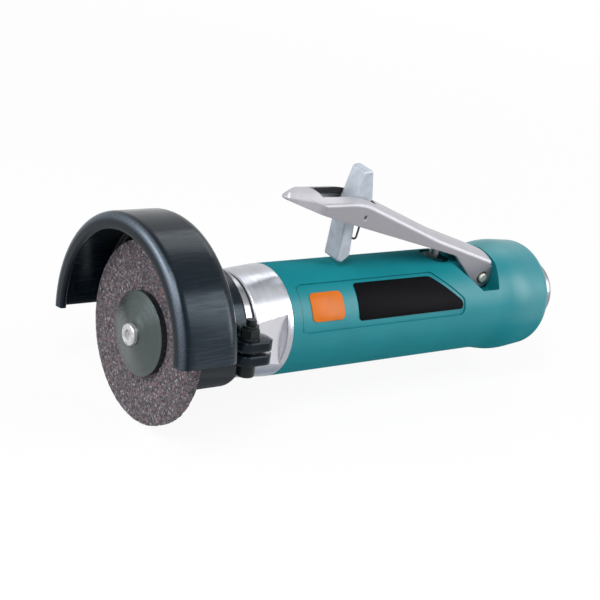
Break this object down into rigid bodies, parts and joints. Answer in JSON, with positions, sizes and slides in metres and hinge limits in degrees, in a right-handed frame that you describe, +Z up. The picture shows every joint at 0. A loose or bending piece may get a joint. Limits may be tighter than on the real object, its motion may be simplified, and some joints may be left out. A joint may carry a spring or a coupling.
{
  "type": "cut-off tool",
  "caption": "Straight air-driven cut-off tool: half-round wheel guard on a split clamp, moulded grip, paddle throttle lever with a folding lock, and a threaded air inlet at the back.",
  "frame": {"origin": "centre of the air inlet's mouth, on the spindle axis", "axes": "+X out of the inlet along the spindle axis, so the wheel is at -X; +Z up on the lever's side; -Y is the side with the panel and the guard's clamp"},
  "size_m": [0.2401, 0.0986, 0.107],
  "materials": {
    "grip_green": "moulded, semi-gloss",
    "guard_black": "satin black",
    "abrasive": "bonded grains",
    "turned_steel": "turned",
    "steel": "machined",
    "black_steel": "blackened",
    "bright_aluminium": "polished",
    "cast_aluminium": "satin cast",
    "lock_grey": "satin",
    "motor_iron": "machined",
    "bearing_steel": "polished",
    "vane_resin": "laminated",
    "black_rubber": "matt",
    "black_plastic": "matt",
    "spring_steel": "drawn wire",
    "felt": "felt"
  },
  "bodies": {
    "housing": {"nose_cap": "bright_aluminium", "nose_seal": "black_rubber", "front_bearing_outer_ring": "bearing_steel", "front_bearing_clip": "spring_steel", "motor_body": "bright_aluminium", "front_end_plate": "motor_iron", "motor_cylinder": "motor_iron", "cylinder_dowel": "steel", "rear_end_plate": "motor_iron", "rear_bearing_outer_ring": "bearing_steel", "motor_gasket": "black_rubber", "grip_housing": "grip_green", "lever_pin": "steel", "valve_bush": "grip_green", "valve_spring": "spring_steel", "inlet_bush": "steel", "inlet_screen": "steel", "silencer_felt": "felt", "exhaust_cap": "bright_aluminium"},
    "spindle": {"cut_off_wheel": "abrasive", "outer_flange": "turned_steel", "flange_screw": "steel", "inner_flange": "turned_steel", "arbor": "steel", "front_bearing_inner_ring": "bearing_steel", "rotor": "steel", "rotor_vanes": "vane_resin", "rear_bearing_inner_ring": "bearing_steel", "front_bearing_balls": "bearing_steel", "rear_bearing_balls": "bearing_steel"},
    "guard": {"wheel_guard": "guard_black", "guard_clamp_screw": "black_steel", "guard_clamp_nut": "black_steel", "guard_clamp_washer": "black_steel"},
    "lever": {"throttle_lever": "cast_aluminium", "lever_bushes": "black_plastic", "lock_pin": "steel", "lock_spring": "spring_steel"},
    "lock": {"lock_lever": "lock_grey"},
    "valve": {"valve_plunger": "steel", "valve_seal": "black_rubber"}
  },
  "joints": [
    {"name": "spindle_spin", "type": "hinge", "parent": "housing", "child": "spindle", "pos_m": [-0.2261, 0, 0], "axis": [1, 0, 0], "continuous": true},
    {"name": "guard_turn", "type": "hinge", "parent": "housing", "child": "guard", "pos_m": [-0.2151, 0, 0], "axis": [1, 0, 0], "continuous": true},
    {"name": "throttle", "type": "hinge", "parent": "housing", "child": "lever", "pos_m": [-0.0502, 0, 0.0151], "axis": [0, -1, 0], "range_deg": [0, 6.5], "stiffness_Nm_per_rad": 1.5, "springref_deg": -11.46},
    {"name": "lock_fold", "type": "hinge", "parent": "lever", "child": "lock", "pos_m": [-0.1315, 0, 0.0497], "axis": [0, -1, 0], "range_deg": [0, 74.75], "deforming": ["lock_spring"]},
    {"name": "valve_push", "type": "slide", "parent": "housing", "child": "valve", "axis": [0, 0, -1], "range_m": [0, 0.00315], "deforming": ["valve_spring"]}
  ],
  "couplings": [
    {"joint": "lock_fold", "follows": "throttle", "ratio": 11.5},
    {"joint": "valve_push", "follows": "throttle", "m_per_rad": 0.0277}
  ]
}
